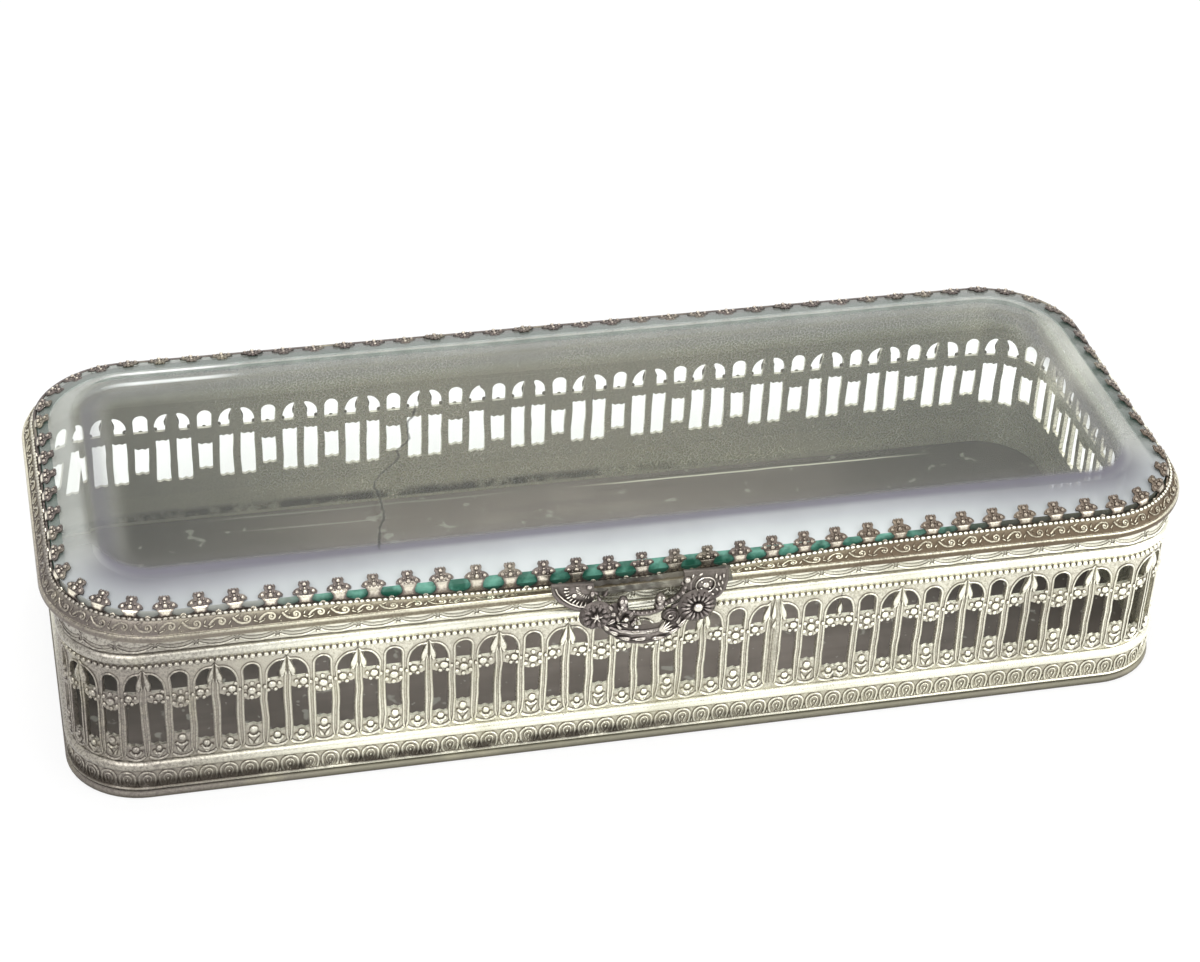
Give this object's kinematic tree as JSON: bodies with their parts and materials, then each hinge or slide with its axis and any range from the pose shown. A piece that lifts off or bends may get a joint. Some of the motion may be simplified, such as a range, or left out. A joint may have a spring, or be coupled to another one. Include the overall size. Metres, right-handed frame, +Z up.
{
  "type": "glass casket box",
  "caption": "Low rectangular casket box with rounded corners, pierced silver-tone arcade walls and a hinged bevelled-glass lid held by crown prongs.",
  "frame": {"origin": "middle of the base outline, on the flat underside that the box stands on", "axes": "+X along the length to the right of a person facing the front, +Y to the hinged back, +Z up"},
  "size_m": [0.2956, 0.1272, 0.06],
  "materials": {
    "silver": "worn silver plate on stamped brass, greyish with grime in the recesses",
    "dull_silver": "dull tarnished silver plate",
    "floor_metal": "dull grey sheet with specks and light scratches",
    "tarnished_silver": "dark mauve-brown tarnish with bright worn edges",
    "glass": "clear bevelled plate glass with a green edge"
  },
  "bodies": {
    "case": {"foot_rim": "dull_silver", "floor_plate": "floor_metal", "base_molding": "silver", "wall_left": "silver", "wall_closer": "silver", "wall_right": "silver", "collar_beading": "silver", "collar": "silver", "hinge_left_case_leaf": "dull_silver", "hinge_right_case_leaf": "dull_silver", "hinge_left_pin": "dull_silver", "hinge_right_pin": "dull_silver"},
    "lid": {"hinge_left_lid_leaf": "dull_silver", "hinge_right_lid_leaf": "dull_silver", "lid_frame": "silver", "lid_beading": "silver", "glass_seat": "dull_silver", "glass_plate": "glass", "prong_strip": "tarnished_silver", "front_strap": "tarnished_silver", "garland_mount": "tarnished_silver", "rosette_left": "tarnished_silver", "rosette_right": "tarnished_silver"}
  },
  "joints": [
    {"name": "lid_hinge", "type": "hinge", "parent": "case", "child": "lid", "pos_m": [0, 0.0616, 0.05005], "axis": [-1, 0, 0], "range_deg": [0, 105]}
  ]
}
